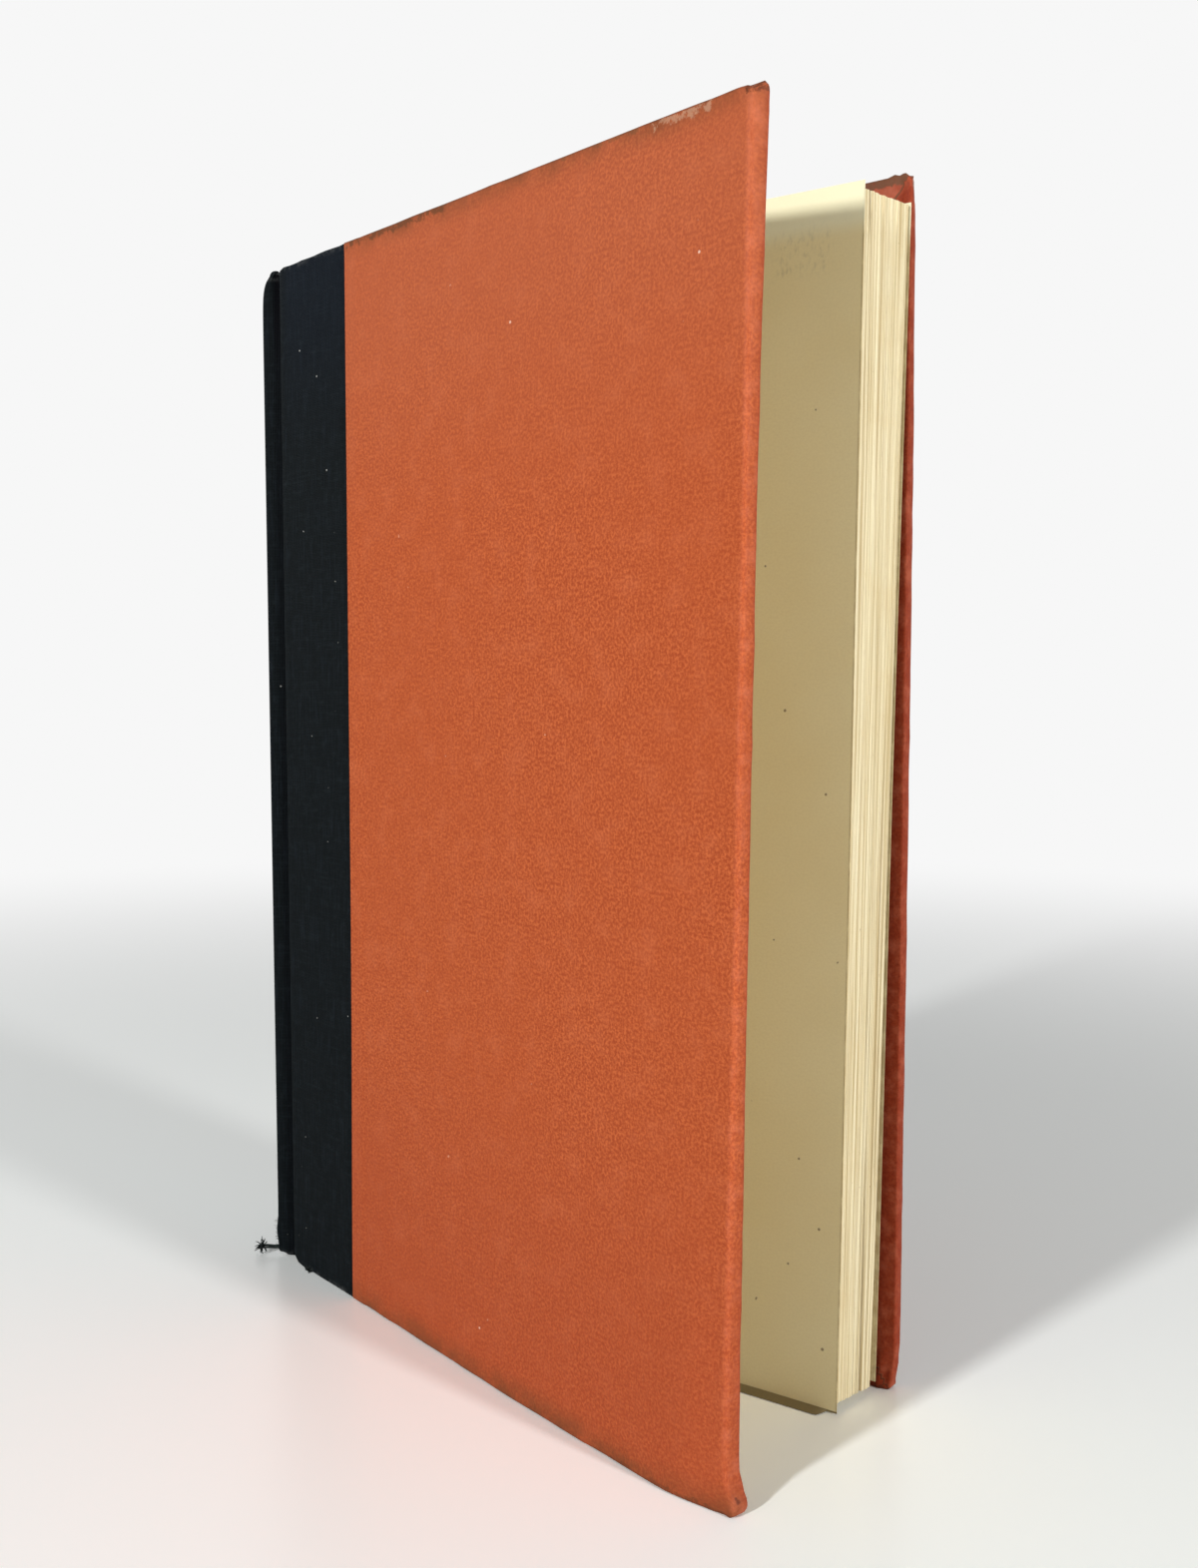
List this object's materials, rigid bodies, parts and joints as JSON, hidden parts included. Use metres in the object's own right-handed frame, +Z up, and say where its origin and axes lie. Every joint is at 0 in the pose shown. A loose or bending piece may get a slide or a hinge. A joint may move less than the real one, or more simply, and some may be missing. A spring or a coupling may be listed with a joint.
{
  "type": "hardback book",
  "caption": "Quarter-cloth hardback book that stands on its tail with the front cover ajar; both covers open about the joints at the spine.",
  "frame": {"origin": "on the ground under the middle of the book's box as it stands, front cover ajar", "axes": "+Z up the spine from tail to head, +X from the spine to the fore-edge, front cover on the -Y side"},
  "size_m": [0.1458, 0.0522, 0.216],
  "materials": {
    "cover_paper": "matt printed paper",
    "book_cloth": "fine woven cloth",
    "page_paper": "uncoated, aged",
    "endpaper": "uncoated, aged",
    "millboard": "grey board",
    "inlay_card": "card",
    "lining_paper": "kraft paper",
    "mull": "open gauze",
    "band_thread": "wound thread"
  },
  "bodies": {
    "text_block": {"page_block": "page_paper", "front_free_endpaper": "endpaper", "back_free_endpaper": "endpaper", "spine_mull": "mull", "spine_lining": "lining_paper", "head_band": "band_thread", "tail_band": "band_thread", "spine_inlay": "inlay_card", "spine_cloth": "book_cloth"},
    "front_cover": {"front_board": "millboard", "front_cloth": "book_cloth", "front_cover_paper": "cover_paper", "front_mull_flap": "mull", "front_pastedown": "endpaper"},
    "back_cover": {"back_board": "millboard", "back_cloth": "book_cloth", "back_cover_paper": "cover_paper", "back_mull_flap": "mull", "back_pastedown": "endpaper"}
  },
  "joints": [
    {"name": "front_joint", "type": "hinge", "parent": "text_block", "child": "front_cover", "pos_m": [-0.06997, 0.008, 0.108], "axis": [0, 0, -1], "range_deg": [-13, 166]},
    {"name": "back_joint", "type": "hinge", "parent": "text_block", "child": "back_cover", "pos_m": [-0.06997, 0.0261, 0.108], "axis": [0, 0, 1], "range_deg": [0, 180]}
  ]
}
